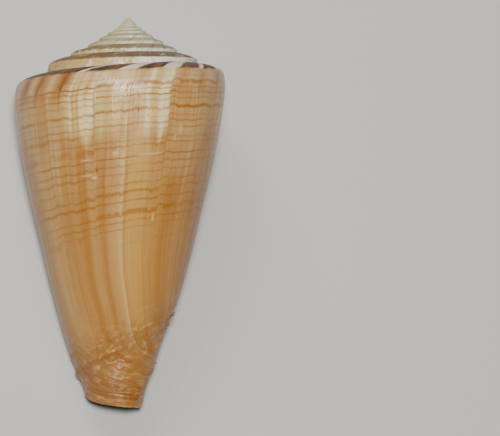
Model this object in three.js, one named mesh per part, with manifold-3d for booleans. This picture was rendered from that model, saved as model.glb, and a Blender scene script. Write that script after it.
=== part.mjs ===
import * as THREE from 'three';
import { mergeVertices } from 'three/addons/utils/BufferGeometryUtils.js';
import Module from 'manifold-3d';

// A cone shell, lying on its side with its mouth down. Millimetres, +Z up.
// The shell grew by adding to its lip while the lip turned about the coiling axis and grew
// by the same share each turn, so one lip curve and one growth factor give every whorl.

// Growth law
const GROWTH_PER_TURN = 1.39;
const SPIRE_EXPONENT = 0.83;
const SPIRE_DEPTH = 9.25;
const FINAL_SINK = 1.1;
const FINAL_SINK_TURNS = 0.4;
const FINAL_SINK_POWER = 0.9;

// The outer edge of the lip from the suture down to the tip of the pillar, each point as
// its distance from the axis, its depth under the apex and its lag in turns behind the lip.
const SUTURE_AND_RAMP = [
  [12.5, 9.2, 0.035],
  [14.7, 9.4, 0.018],
  [16.7, 10.1, 0.006],
];
const SHOULDER = [
  [17.65, 10.9, 0],
  [18.0, 12.3, 0],
  [18.05, 14.3, 0],
];
const SIDE = [
  [17.75, 17.2, 0],
  [17.1, 21.6, 0],
  [15.8, 28.0, 0],
  [14.1, 35.0, 0],
  [12.45, 42.0, 0],
];
const BASE = [
  [10.7, 48.6, 0],
  [9.3, 53.2, 0],
  [8.3, 55.7, 0.005],
  [7.3, 57.4, 0.03],
];
const AROUND_THE_PILLAR = [
  [6.4, 58.7, 0.09],
  [5.4, 59.4, 0.18],
  [4.1, 59.7, 0.3],
  [3.1, 59.8, 0.41],
  [2.4, 59.85, 0.52],
  [1.9, 59.9, 0.63],
  [1.6, 60.0, 0.75],
];
const CORNER_DEPTH = SPIRE_DEPTH + FINAL_SINK;
const LIP_CURVE_TENSION = 0.5;

// Wall
const WALL = 1.3;
const LIP_THINNING = 0.35;
const LIP_THINNING_TURNS = 0.06;
const CALLUS = 0.12;
const LEAST_HOLLOW = 0.15;

// Spiral cords on the base
const CORD_RELIEF = 0.16;
const CORD_FADE_POINTS = 4;

// Extent of the whorls and of the hollow, in turns from the lip. The whorls are joined from
// parts of less than half a turn.
const PART_TURNS = 0.44;
const SPIRE_PARTS = 13;
const LAST_WHORL_START = -1.1;
const HOLLOW_END = -1.5;
const MOUTH_CUT = 0.03;

// Facets round the axis
const STEPS_PER_TURN = 40;
const SPIRE_STEPS_PER_TURN = 26;
const HOLLOW_STEPS_PER_TURN = 26;
const AXIS_HOLE = 0.25;

// Facets down the lip: how many each stretch has, and how far the shoulder's and the side's
// stretches start or stop short of a point of the lip curve, as a share of the way to the next
const RAMP_FACETS = 2;
const SHOULDER_FACETS = 3;
const SIDE_FACETS = 4;
const BASE_FACETS = 20;
const PILLAR_FACETS = 6;
const SHOULDER_LEAD = 0.4;
const SIDE_LEAD = 0.2;
const SIDE_STOP = 0.6;
const BASE_STOP = 0.5;

// Facets down the inside of the lip, and how far it reaches into the canal
const HOLLOW_SHOULDER_FACETS = 3;
const HOLLOW_SIDE_FACETS = 5;
const CANAL_FACETS = 5;
const HOLLOW_TOP = 1.2;
const CANAL_REACH = 2.6;

// Fineness of the sums
const SLOPE_STEP = 0.01;
const DEPTH_HALVINGS = 24;
const SAME_POINT = 1e-4;

// The rounded first whorls and the thread of shell along the axis
const APEX_DOME = [
  [0, 0],
  [0.5, -0.12],
  [1.0, -0.5],
  [1.45, -1.15],
  [1.3, -2.4],
  [0, -2.6],
];
const AXIS_THREAD = [
  [0, -1.5],
  [0.45, -1.8],
  [0.45, -57.0],
  [0, -57.6],
];
const ROUND_FACETS = 16;
const THREAD_FACETS = 8;

// How the shell lies at rest, on the edge of its lip and the side of its last whorl, with its
// mouth down and its tip towards -Y: first rolled about its own axis, then laid down.
const ROLL = THREE.MathUtils.degToRad(142.6);
const LAY_DOWN = THREE.MathUtils.degToRad(-79.2);

const SHELL_MATERIAL = new THREE.MeshStandardMaterial({
  name: 'aged_shell',
  color: 0xb98a5c,
  roughness: 0.42,
  metalness: 0,
});

const lipPoints = [...SUTURE_AND_RAMP, ...SHOULDER, ...SIDE, ...BASE, ...AROUND_THE_PILLAR];
const lipCurve = new THREE.CatmullRomCurve3(
  lipPoints.map((point) => new THREE.Vector3(...point)),
  false,
  'catmullrom',
  LIP_CURVE_TENSION,
);

// A place on the lip curve is counted in its points: 2.5 is halfway from the third to the fourth.
const SHOULDER_START = SUTURE_AND_RAMP.length;
const SIDE_START = SHOULDER_START + SHOULDER.length;
const CORDS_START = SIDE_START + SIDE.length - 1;
const PILLAR_START = CORDS_START + 1 + BASE.length;
const LIP_END = lipPoints.length - 1;
const HOLLOW_SIDE_END = PILLAR_START - 2;
const CANAL_START = PILLAR_START - 1;

function lipAt(place) {
  const point = lipCurve.getPoint(Math.min(Math.max(place / LIP_END, 0), 1));
  return { radius: point.x, depth: point.y, lag: point.z };
}

function cornerDepth(turn) {
  const sinking = Math.max(0, 1 + turn / FINAL_SINK_TURNS);
  return SPIRE_DEPTH * GROWTH_PER_TURN ** (SPIRE_EXPONENT * turn)
    + FINAL_SINK * sinking ** FINAL_SINK_POWER;
}

// The outer surface at a place on the lip curve, as the lip left it the given turns ago
// (negative). The azimuth is in turns and counts up on the way back from the lip.
function outerAt(place, turn) {
  const lip = lipAt(place);
  const scale = GROWTH_PER_TURN ** turn;
  return {
    radius: lip.radius * scale,
    depth: cornerDepth(turn) + (lip.depth - CORNER_DEPTH) * scale,
    azimuth: lip.lag - turn,
  };
}

function toVector({ radius, depth, azimuth }) {
  const angle = 2 * Math.PI * azimuth;
  return new THREE.Vector3(radius * Math.cos(angle), radius * Math.sin(angle), -depth);
}

function wallAt(turn) {
  const thinning = LIP_THINNING * Math.exp(Math.min(turn, 0) / LIP_THINNING_TURNS);
  return WALL * GROWTH_PER_TURN ** turn * (1 - thinning);
}

// The inner surface: the outer one moved in by the wall, within its half plane through the axis.
function innerAt(place, turn) {
  const step = SLOPE_STEP;
  const here = outerAt(place, turn);
  const down = outerAt(place + step, turn);
  const up = outerAt(place - step, turn);
  const later = outerAt(place, turn + step);
  const earlier = outerAt(place, turn - step);
  const around = 2 * Math.PI * here.radius;
  const alongLip = [down.radius - up.radius, (down.azimuth - up.azimuth) * around, down.depth - up.depth];
  const growth = [
    later.radius - earlier.radius,
    (later.azimuth - earlier.azimuth) * around,
    later.depth - earlier.depth,
  ];
  const outwards = alongLip[1] * growth[2] - alongLip[2] * growth[1];
  const downwards = alongLip[0] * growth[1] - alongLip[1] * growth[0];
  const length = Math.hypot(outwards, downwards);
  const wall = wallAt(turn);
  return {
    radius: here.radius - wall * outwards / length,
    depth: here.depth - wall * downwards / length,
    azimuth: here.azimuth,
  };
}

// The distance from the axis to the outer surface at an azimuth and a depth. Under the end of
// the lip curve it is the pillar, which keeps the radius that the curve ends with.
function bodyRadius(azimuth, depth) {
  let above = 0;
  let below = LIP_END;
  for (let halving = 0; halving < DEPTH_HALVINGS; halving += 1) {
    const middle = (above + below) / 2;
    const reached = outerAt(middle, lipAt(middle).lag - azimuth).depth;
    if (reached < depth) {
      above = middle;
    } else {
      below = middle;
    }
  }
  return outerAt(above, lipAt(above).lag - azimuth).radius;
}

// The facing side of the previous whorl and the pillar, on the level of an inner point.
function hollowCoreAt(inner) {
  const facing = bodyRadius(inner.azimuth + 1, inner.depth) + CALLUS;
  return {
    radius: Math.min(facing, inner.radius - LEAST_HOLLOW),
    depth: inner.depth,
    azimuth: inner.azimuth,
  };
}

function places(from, to, count) {
  return Array.from({ length: count + 1 }, (_, index) => from + (to - from) * index / count);
}

// Two grids of points, a far one and a near one of equal size, closed into one solid by the
// four strips between their edges.
function solidBetween(wasm, farGrid, nearGrid) {
  const rows = farGrid.length;
  const columns = farGrid[0].length;
  const positions = [farGrid, nearGrid].flat(2).flatMap((point) => point.toArray());
  const far = (row, column) => row * columns + column;
  const near = (row, column) => rows * columns + far(row, column);
  const triangles = [];
  const quad = (a, b, c, d) => triangles.push(a, b, c, a, c, d);
  for (let row = 0; row < rows - 1; row += 1) {
    for (let column = 0; column < columns - 1; column += 1) {
      quad(far(row, column), far(row + 1, column), far(row + 1, column + 1), far(row, column + 1));
      quad(near(row, column), near(row, column + 1), near(row + 1, column + 1), near(row + 1, column));
    }
  }
  for (let row = 0; row < rows - 1; row += 1) {
    const last = columns - 1;
    quad(far(row, 0), near(row, 0), near(row + 1, 0), far(row + 1, 0));
    quad(far(row, last), far(row + 1, last), near(row + 1, last), near(row, last));
  }
  for (let column = 0; column < columns - 1; column += 1) {
    const last = rows - 1;
    quad(far(0, column), far(0, column + 1), near(0, column + 1), near(0, column));
    quad(far(last, column), near(last, column), near(last, column + 1), far(last, column + 1));
  }
  return toSolid(wasm, positions, triangles);
}

function toSolid(wasm, positions, triangles) {
  const mesh = new wasm.Mesh({
    numProp: 3,
    vertProperties: new Float32Array(positions),
    triVerts: new Uint32Array(triangles),
  });
  return new wasm.Manifold(mesh);
}

function turned(wasm, profile, facets) {
  const outline = profile.map(([radius, height]) => new THREE.Vector2(radius, height)).reverse();
  const lathe = new THREE.LatheGeometry(outline, facets);
  lathe.rotateX(Math.PI / 2);
  lathe.deleteAttribute('normal');
  lathe.deleteAttribute('uv');
  const merged = mergeVertices(lathe, SAME_POINT);
  return toSolid(wasm, merged.attributes.position.array, merged.index.array);
}

// The cords stand up from every other point of the base.
function cordRelief(index, count) {
  const fade = Math.min(1, index / CORD_FADE_POINTS, (count - index) / CORD_FADE_POINTS);
  return index % 2 === 1 ? CORD_RELIEF * fade : 0;
}

const bodyPlaces = [
  ...places(0, SHOULDER_START - 1, RAMP_FACETS),
  ...places(SHOULDER_START - SHOULDER_LEAD, SIDE_START - 1, SHOULDER_FACETS),
  ...places(SIDE_START - SIDE_LEAD, CORDS_START - SIDE_STOP, SIDE_FACETS),
  ...places(CORDS_START, PILLAR_START - BASE_STOP, BASE_FACETS),
  ...places(PILLAR_START, LIP_END, PILLAR_FACETS),
];
const firstCord = bodyPlaces.indexOf(CORDS_START);

function bodyPoint(index, turn) {
  const point = outerAt(bodyPlaces[index], turn);
  const cord = index - firstCord;
  if (cord > 0 && cord < BASE_FACETS) {
    point.radius += cordRelief(cord, BASE_FACETS) * GROWTH_PER_TURN ** turn;
  }
  return toVector(point);
}

function axisPoint(point) {
  const angle = Math.atan2(point.y, point.x);
  return new THREE.Vector3(AXIS_HOLE * Math.cos(angle), AXIS_HOLE * Math.sin(angle), point.z);
}

// All between the outer surface and the axis over part of a whorl.
function whorlPart(wasm, fromTurn, toTurn, stepsPerTurn, pointCount) {
  const turns = places(fromTurn, toTurn, Math.round((toTurn - fromTurn) * stepsPerTurn));
  const indices = Array.from({ length: pointCount }, (_, index) => index);
  const outer = turns.map((turn) => indices.map((index) => bodyPoint(index, turn)));
  const axis = outer.map((row) => row.map(axisPoint));
  return solidBetween(wasm, outer, axis);
}

function filledShell(wasm) {
  const bandPoints = bodyPlaces.findIndex((place) => place >= SIDE_START - 1) + 1;
  let filled = turned(wasm, APEX_DOME, ROUND_FACETS).add(turned(wasm, AXIS_THREAD, THREAD_FACETS));
  for (let part = SPIRE_PARTS; part > 0; part -= 1) {
    const from = LAST_WHORL_START - part * PART_TURNS;
    filled = filled.add(whorlPart(wasm, from, from + PART_TURNS, SPIRE_STEPS_PER_TURN, bandPoints));
  }
  for (let from = LAST_WHORL_START; from < 0; from += PART_TURNS) {
    const to = Math.min(from + PART_TURNS, 0);
    filled = filled.add(whorlPart(wasm, from, to, STEPS_PER_TURN, bodyPlaces.length));
  }
  return filled;
}

function hollow(wasm) {
  const steps = Math.round((MOUTH_CUT - HOLLOW_END) * HOLLOW_STEPS_PER_TURN);
  const hollowPlaces = [
    ...places(HOLLOW_TOP, SHOULDER_START + 1, HOLLOW_SHOULDER_FACETS),
    ...places(SIDE_START, HOLLOW_SIDE_END, HOLLOW_SIDE_FACETS),
    ...places(CANAL_START, PILLAR_START + CANAL_REACH, CANAL_FACETS),
  ];
  const inner = places(HOLLOW_END, MOUTH_CUT, steps)
    .map((turn) => hollowPlaces.map((place) => innerAt(place, turn)));
  const core = inner.map((row) => row.map(hollowCoreAt));
  return solidBetween(
    wasm,
    inner.map((row) => row.map(toVector)),
    core.map((row) => row.map(toVector)),
  );
}

// Joining faces that lie in one plane can leave slivers with no volume, which are dropped.
function largestBody(solid) {
  return solid.decompose().reduce((best, body) => (body.volume() > best.volume() ? body : best));
}

function toGeometry(solid) {
  const mesh = solid.getMesh();
  const geometry = new THREE.BufferGeometry();
  geometry.setAttribute('position', new THREE.BufferAttribute(mesh.vertProperties, 3));
  geometry.setIndex(new THREE.BufferAttribute(mesh.triVerts, 1));
  geometry.computeVertexNormals();
  return geometry;
}

const wasm = await Module();
wasm.setup();

const solid = largestBody(filledShell(wasm).subtract(hollow(wasm)));
const shell = new THREE.Mesh(toGeometry(solid), SHELL_MATERIAL);
shell.name = 'cone_shell';
shell.rotation.set(LAY_DOWN, 0, ROLL);

// The origin is on the ground, under the middle of the shell.
const extent = new THREE.Box3().setFromObject(shell, true);
const middle = extent.getCenter(new THREE.Vector3());
shell.position.set(-middle.x, -middle.y, -extent.min.z);

const group = new THREE.Group();
group.add(shell);

export default group;
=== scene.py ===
import math

import bmesh
import bpy
from mathutils import Matrix, Vector


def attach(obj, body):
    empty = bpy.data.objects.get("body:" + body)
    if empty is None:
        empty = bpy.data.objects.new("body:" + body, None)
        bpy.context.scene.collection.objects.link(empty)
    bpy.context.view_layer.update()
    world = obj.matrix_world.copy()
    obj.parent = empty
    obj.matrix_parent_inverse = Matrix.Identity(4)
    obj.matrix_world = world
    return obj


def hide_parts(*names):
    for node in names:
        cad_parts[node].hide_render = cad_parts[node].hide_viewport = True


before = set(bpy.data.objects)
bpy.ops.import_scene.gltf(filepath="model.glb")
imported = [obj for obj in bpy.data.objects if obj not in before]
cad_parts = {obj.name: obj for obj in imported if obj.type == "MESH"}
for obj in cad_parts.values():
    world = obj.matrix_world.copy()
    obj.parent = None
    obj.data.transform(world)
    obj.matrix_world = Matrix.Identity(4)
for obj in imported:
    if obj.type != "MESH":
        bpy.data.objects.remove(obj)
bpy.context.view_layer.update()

# Growth law of the shell, in millimetres and turns
GROWTH_PER_TURN = 1.39
SPIRE_EXPONENT = 0.83
SPIRE_DEPTH = 9.25
FINAL_SINK = 1.1
FINAL_SINK_TURNS = 0.4
FINAL_SINK_POWER = 0.9
CORNER_DEPTH = SPIRE_DEPTH + FINAL_SINK
WALL = 1.3
LIP_THINNING = 0.35
LIP_THINNING_TURNS = 0.06

# Lip from the suture down to the tip of the pillar: distance from the axis, depth under the
# apex, and lag in turns behind the lip's most forward part
RAMP_POINTS = ((12.5, 9.2, 0.035), (14.7, 9.4, 0.018), (16.7, 10.1, 0.006))
SHOULDER_POINTS = ((17.65, 10.9, 0), (18.0, 12.3, 0), (18.05, 14.3, 0))
SIDE_POINTS = ((17.75, 17.2, 0), (17.1, 21.6, 0), (15.8, 28.0, 0), (14.1, 35.0, 0), (12.45, 42.0, 0))
BASE_POINTS = ((10.7, 48.6, 0), (9.3, 53.2, 0), (8.3, 55.7, 0.005), (7.3, 57.4, 0.03))
PILLAR_POINTS = (
    (6.4, 58.7, 0.09), (5.4, 59.4, 0.18), (4.1, 59.7, 0.3), (3.1, 59.8, 0.41),
    (2.4, 59.85, 0.52), (1.9, 59.9, 0.63), (1.6, 60.0, 0.75),
)
LIP_POINTS = RAMP_POINTS + SHOULDER_POINTS + SIDE_POINTS + BASE_POINTS + PILLAR_POINTS
LENGTH_STEPS = 12

# How the shell lies at rest: rolled about its own axis, laid down, then set on the floor
ROLL = math.radians(142.6)
LAY_DOWN = math.radians(-79.2)
REST_PLACE = (1.337, 29.684, 15.638)

# Millimetres to a turn, about as long as the last one is at the shoulder, and metres to a millimetre
AROUND_MM = 110.0
MM = 0.001


def add(tree, kind, *inputs, **settings):
    """Adds one node with its settings, fills or joins its inputs, and gives its first output in use.
    A kind in capitals is an operation of the Math node. Inputs come in order, or by name in a dict.
    The setting stops gives a colour ramp's places and colours."""
    if kind.isupper():
        kind, settings = "ShaderNodeMath", {"operation": kind}
    node = tree.nodes.new(kind)
    for place, (position, colour) in enumerate(settings.pop("stops", ())):
        elements = node.color_ramp.elements
        element = elements[place] if place < len(elements) else elements.new(position)
        element.position, element.color = position, colour
    for name, value in settings.items():
        setattr(node, name, value)
    usable = [socket for socket in node.inputs if socket.enabled]
    given = []
    for place, source in enumerate(inputs):
        if isinstance(source, dict):
            given += [(next(s for s in usable if s.name == name), value) for name, value in source.items()]
        else:
            given.append((usable[place], source))
    for socket, source in given:
        if isinstance(source, bpy.types.NodeSocket):
            tree.links.new(source, socket)
        else:
            socket.default_value = source
    outputs = [socket for socket in node.outputs if socket.enabled]
    return outputs[0] if outputs else node


def linear(colour):
    """An sRGB hex colour as linear red, green, blue and alpha."""
    parts = [int(colour[i:i + 2], 16) / 255 for i in (1, 3, 5)]
    return (*[p / 12.92 if p <= 0.04045 else ((p + 0.055) / 1.055) ** 2.4 for p in parts], 1.0)


def lip_point(place):
    """The lip's curve at a place from 0 at the suture to 21 at the pillar's tip."""
    last = len(LIP_POINTS) - 1
    step = min(int(place), last - 1)
    part = place - step
    points = [Vector(p) for p in LIP_POINTS]
    before = points[step - 1] if step > 0 else 2 * points[0] - points[1]
    after = points[step + 2] if step + 2 <= last else 2 * points[last] - points[last - 1]
    start, end = points[step], points[step + 1]
    leave, reach = (end - before) / 2, (after - start) / 2
    return (
        start + leave * part
        + (3 * (end - start) - 2 * leave - reach) * part ** 2
        + (2 * (start - end) + leave + reach) * part ** 3
    )


def lengths_along_lip():
    """Millimetres from the suture at each of the fine steps of the lip, seen in its half plane."""
    count = (len(LIP_POINTS) - 1) * LENGTH_STEPS + 1
    stations = [lip_point(i / LENGTH_STEPS).xy for i in range(count)]
    lengths = [0.0]
    for near, far in zip(stations, stations[1:]):
        lengths.append(lengths[-1] + (far - near).length)
    return lengths


LENGTHS = lengths_along_lip()


def lip_length(place):
    """Millimetres along the lip from the suture to a place on it."""
    whole = int(place * LENGTH_STEPS)
    part = place * LENGTH_STEPS - whole
    beyond = LENGTHS[min(whole + 1, len(LENGTHS) - 1)]
    return LENGTHS[whole] + (beyond - LENGTHS[whole]) * part


# Places along the lip in millimetres from the suture
RAMP_END = lip_length(2.6)
LINES_START = lip_length(4.0)
LINES_END = lip_length(9.6)
BASE_START = lip_length(10.3)
PILLAR_START = lip_length(14.6)
LIP_END = lip_length(21.0)
FIRST_CORD = 48.6

# Lag of the growth lines, in turns, and the millimetres along the lip over which it builds up
SHOULDER_LAG = 0.012
SHOULDER_LAG_LENGTH = 4.5
SIDE_LEAD = 0.012
SIDE_LEAD_START = 10.0
SIDE_LEAD_END = 36.0
BASE_LAG = 0.0007
BASE_LAG_POWER = 1.4
BASE_LAG_LENGTH = 13.0
BASE_LAG_EARLY = 1.0


def smooth(low, high, value):
    """0 up to low, 1 from high on, and a soft step between them."""
    part = min(1.0, max(0.0, (value - low) / (high - low)))
    return part * part * (3 - 2 * part)


def sweep(along):
    """How far growth lines trail, in turns: a little near the shoulder, forward down the side, back
    again across the base."""
    over_shoulder = SHOULDER_LAG * (1 - smooth(RAMP_END, RAMP_END + SHOULDER_LAG_LENGTH, along))
    down_the_side = -SIDE_LEAD * smooth(SIDE_LEAD_START, SIDE_LEAD_END, along)
    past_base_start = min(BASE_LAG_LENGTH, max(0.0, along - BASE_START + BASE_LAG_EARLY))
    return over_shoulder + down_the_side + BASE_LAG * past_base_start ** BASE_LAG_POWER


# At a strip's edges the wall thins to nothing over this share of the way between two lip points
EDGE_TAPER = 0.9


def lip_profile(spans, name):
    """A line of points, one for each column of the wall: out along the lip and back inside it.
    spans gives the places to go through and how many columns each span has."""
    places = []
    for start, end, columns in spans:
        places += [start + (end - start) * i / columns for i in range(columns)]
    places.append(spans[-1][1])
    first, last = places[0], places[-1]
    # The second number is 0 outside and 1 inside
    ring = [(p, 0.0) for p in places] + [(p, 1.0) for p in reversed(places)]
    mesh = bpy.data.meshes.new(name)
    mesh.from_pydata([lip_point(p) for p, _ in ring], [(i, i + 1) for i in range(len(ring) - 1)], [])
    notes = {
        "along": [lip_length(p) for p, _ in ring],
        "inside": [inside for _, inside in ring],
        "sweep": [sweep(lip_length(p)) for p, _ in ring],
        "end_taper": [max(0.0, min(1.0, (p - first) / EDGE_TAPER, (last - p) / EDGE_TAPER)) for p, _ in ring],
    }
    for label, values in notes.items():
        mesh.attributes.new(label, "FLOAT", "POINT").data.foreach_set("value", values)
    return bpy.data.objects.new(name, mesh), len(ring)


def growth_streaks(tree, around, along, width, length, seed, detail=2.0):
    """Noise drawn out along the growth lines; width and length are the size of a streak in millimetres."""
    spot = add(tree, "ShaderNodeCombineXYZ", add(tree, "DIVIDE", around, width),
               add(tree, "DIVIDE", along, length), seed)
    return add(tree, "ShaderNodeTexNoise", {"Vector": spot, "Scale": 1.0, "Detail": detail, "Roughness": 0.6})


def between(tree, value, first, last, soft):
    """1 where the value lies between first and last, fading to 0 over soft on both sides."""
    enter = add(tree, "ShaderNodeMapRange", {
        "Value": value, "From Min": first - soft, "From Max": first + soft}, interpolation_type="SMOOTHSTEP")
    leave = add(tree, "ShaderNodeMapRange", {
        "Value": value, "From Min": last + soft, "From Max": last - soft}, interpolation_type="SMOOTHSTEP")
    return add(tree, "MULTIPLY", enter, leave)


# Named inputs of the wound wall
SIZES = (
    ("Growth per Turn", "NodeSocketFloat", GROWTH_PER_TURN),
    ("Spire Exponent", "NodeSocketFloat", SPIRE_EXPONENT),
    ("Spire Depth", "NodeSocketFloat", SPIRE_DEPTH),
    ("Corner Depth", "NodeSocketFloat", CORNER_DEPTH),
    ("Final Sink", "NodeSocketFloat", FINAL_SINK),
    ("Final Sink Turns", "NodeSocketFloat", FINAL_SINK_TURNS),
    ("Final Sink Power", "NodeSocketFloat", FINAL_SINK_POWER),
    ("Wall", "NodeSocketFloat", WALL),
    ("Lip Thinning", "NodeSocketFloat", LIP_THINNING),
    ("Lip Thinning Turns", "NodeSocketFloat", LIP_THINNING_TURNS),
    ("First Turn", "NodeSocketFloat", -2.1),
    ("Last Turn", "NodeSocketFloat", 0.0),
    ("Lip Rounding Turns", "NodeSocketFloat", 0.004),
    ("Lip Rows", "NodeSocketFloat", 5.0),
    ("Rows", "NodeSocketInt", 360),
    ("Columns", "NodeSocketInt", 220),
    ("Around", "NodeSocketFloat", AROUND_MM),
    ("Ridge Height", "NodeSocketFloat", 0.1),
    ("Cord Height", "NodeSocketFloat", 0.2),
    ("Cord Spacing", "NodeSocketFloat", 2.2),
    ("Bead Height", "NodeSocketFloat", 0.16),
    ("Beads per Turn", "NodeSocketFloat", 31.0),
    ("Wear", "NodeSocketFloat", 0.34),
    ("Chip Depth", "NodeSocketFloat", 0.006),
    ("Inset", "NodeSocketFloat", 0.1),
    ("Seed", "NodeSocketFloat", 7.0),
    ("Outer Layer", "NodeSocketMaterial", None),
    ("Inner Layer", "NodeSocketMaterial", None),
)

# Chips of the lip: how far their noise moves on for each millimetre of the lip, the levels of the noise
# between which a chip deepens, and the power that keeps chips to the last rows
CHIP_STEP = 0.55
CHIP_LEVELS = (0.5, 0.72)
CHIP_EDGE_POWER = 60.0

# A strip's wall reaches its full thickness over one part in START_TAPER of its rows, and it starts
# sunk by START_SINK millimetres under the strip that it overlaps
START_TAPER = 60.0
START_SINK = 0.3

# Growth ridges: how far their noise moves on for each millimetre round the whorl and along the lip, and
# the level of the noise that leaves the surface flush
RIDGE_STEP_ROUND = 0.85
RIDGE_STEP_ALONG = 0.035
RIDGE_LEVEL = 0.6

# Cords of the base, in millimetres along the lip: how far before the first cord they begin, how far past
# it they are in full, and how far before the pillar's tip they fade
CORD_LEAD = 1.6
CORD_RISE = 3.5
CORD_FADE = 1.5

# Their climb for each millimetre round the whorl, at the first cord and at the tip, and where round the
# whorl they have climbed nothing
CORD_SLOPES = (-0.05, 0.05)
CORD_CENTRE = -33.0

# How narrow the cords are, how much of their spacing the lumps shift them, the levels of the wrinkles
# between which a cord rises from nothing, and its height where it is whole
CORD_SHARPNESS = 5.0
CORD_SHIFT = 0.3
CORD_BREAK_LEVELS = (0.38, 0.62)
WHOLE_CORD = 1.7

# Wrinkles and lumps to a millimetre, their heights and the base's own level in cord heights, and how
# much of the growth ridges is lost among them
WRINKLES_PER_MM = 1.3
LUMPS_PER_MM = 0.45
WRINKLE_SHARE = 1.4
LUMP_SHARE = 1.4
BASE_SINK = -2.0
RIDGES_LOST_ON_BASE = 0.7

# Knobs and wear of the early whorls: the turn where they end, and the turn up to which they are in full
KNOBS_END = -0.95
KNOBS_FULL = -1.5

# Patches of wear to a millimetre, and the level of their noise that is worn no more. Wear and inset are
# slight on whorls whose scale is under 1 / SMALL_WHORL_GAIN.
WEAR_PER_MM = 0.9
WEAR_LEVEL = 0.75
SMALL_WHORL_GAIN = 2.5

# Old breaks that healed: turn, first and last place along the lip, and step in millimetres, whose
# sign says which way the spiral lines are shifted there
HEALED_BREAKS = (
    (-0.284, 6.5, 16.0, 0.16),
    (-0.332, 5.0, 50.0, 0.1),
    (-0.372, 5.5, 14.0, -0.1),
    (-0.401, 5.5, 24.0, 0.12),
    (-0.205, 6.0, 19.0, 0.07),
    (-0.79, 5.0, 50.0, 0.12),
)

# Edge of a break: how far the noise of its jags moves on for each millimetre of the lip, their reach in
# turns, and what the break's turn is multiplied by for a seed
BREAK_JAG_STEP = 0.5
BREAK_JAG_TURNS = 0.012
BREAK_SEED_STEP = 90.0

# Turns over which the ledge falls off and over which it runs out behind, and the millimetres over which
# it fades at its upper and lower end
BREAK_LEDGE_TURNS = (0.003, -0.001)
BREAK_FADE_TURNS = -0.035
BREAK_UPPER_FADE = 2.0
BREAK_LOWER_FADE = 3.0

# Points closer than this, in millimetres, are joined where the wall's faces meet
SAME_POINT = 0.001


def lip_at_columns(tree, size, across):
    """The lip's point and notes for each column of the grid."""
    column = add(tree, "ROUND", add(tree, "MULTIPLY", across, add(tree, "SUBTRACT", size["Columns"], 1.0)))
    lip = add(tree, "GeometryNodeSampleIndex", {
        "Geometry": size["Lip"], "Value": add(tree, "GeometryNodeInputPosition"),
        "Index": column}, data_type="FLOAT_VECTOR")
    note = {
        label: add(tree, "GeometryNodeSampleIndex", {
            "Geometry": size["Lip"], "Index": column,
            "Value": add(tree, "GeometryNodeInputNamedAttribute", {"Name": label}, data_type="FLOAT")},
            data_type="FLOAT")
        for label in ("along", "inside", "sweep", "end_taper")
    }
    return lip, note


def turn_of_rows(tree, size, ahead, along):
    """The turn of each row, how far it is up the strip, and how far it is over the lip's edge. Rows lie
    evenly along the growing whorl, and the last few go round the chipped edge of the lip."""
    lip_share = add(tree, "DIVIDE", size["Lip Rows"], size["Rows"])
    main = add(tree, "MINIMUM", add(tree, "DIVIDE", ahead, add(tree, "SUBTRACT", 1.0, lip_share)), 1.0)
    edge = add(tree, "ADD", ahead, add(tree, "SUBTRACT", lip_share, 1.0))
    edge = add(tree, "MAXIMUM", add(tree, "DIVIDE", edge, lip_share), 0.0)
    edge_angle = add(tree, "MULTIPLY", edge, math.pi / 2)
    over_edge = add(tree, "SUBTRACT", 1.0, add(tree, "COSINE", edge_angle))
    turns = add(tree, "SUBTRACT", size["Last Turn"], size["Lip Rounding Turns"])
    turns = add(tree, "SUBTRACT", turns, size["First Turn"])
    grown = add(tree, "SUBTRACT", add(tree, "POWER", size["Growth per Turn"], turns), 1.0)
    turn = add(tree, "LOGARITHM", add(tree, "MULTIPLY_ADD", main, grown, 1.0), size["Growth per Turn"])
    turn = add(tree, "ADD", turn, size["First Turn"])
    turn = add(tree, "MULTIPLY_ADD", add(tree, "SINE", edge_angle), size["Lip Rounding Turns"], turn)
    spot = add(tree, "ADD", add(tree, "MULTIPLY", along, CHIP_STEP), size["Seed"])
    chip = add(tree, "ShaderNodeTexNoise", {"W": spot, "Detail": 3.0}, noise_dimensions="1D")
    chip = add(tree, "ShaderNodeMapRange", {
        "Value": chip, "From Min": CHIP_LEVELS[0], "From Max": CHIP_LEVELS[1]})
    chip = add(tree, "MULTIPLY", add(tree, "MULTIPLY", chip, size["Chip Depth"]),
               add(tree, "POWER", main, CHIP_EDGE_POWER))
    return add(tree, "SUBTRACT", turn, chip), main, over_edge


def where_lip_stood(tree, size, lip, turn):
    """The place of a lip point at a turn, and the scale of the shell then."""
    lip_parts = tree.nodes.new("ShaderNodeSeparateXYZ")
    tree.links.new(lip, lip_parts.inputs[0])
    lip_radius, lip_depth, lag = lip_parts.outputs
    scale = add(tree, "POWER", size["Growth per Turn"], turn)
    radius = add(tree, "MULTIPLY", lip_radius, scale)
    sink = add(tree, "ADD", add(tree, "DIVIDE", turn, size["Final Sink Turns"]), 1.0)
    sink = add(tree, "POWER", add(tree, "MAXIMUM", sink, 0.0), size["Final Sink Power"])
    corner = add(tree, "POWER", size["Growth per Turn"], add(tree, "MULTIPLY", turn, size["Spire Exponent"]))
    corner = add(tree, "MULTIPLY_ADD", corner, size["Spire Depth"],
                 add(tree, "MULTIPLY", sink, size["Final Sink"]))
    depth = add(tree, "MULTIPLY_ADD", add(tree, "SUBTRACT", lip_depth, size["Corner Depth"]), scale, corner)
    azimuth = add(tree, "MULTIPLY", add(tree, "SUBTRACT", lag, turn), math.tau)
    place = add(tree, "ShaderNodeCombineXYZ",
                add(tree, "MULTIPLY", radius, add(tree, "COSINE", azimuth)),
                add(tree, "MULTIPLY", radius, add(tree, "SINE", azimuth)),
                add(tree, "MULTIPLY", depth, -1.0))
    return place, scale


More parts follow.
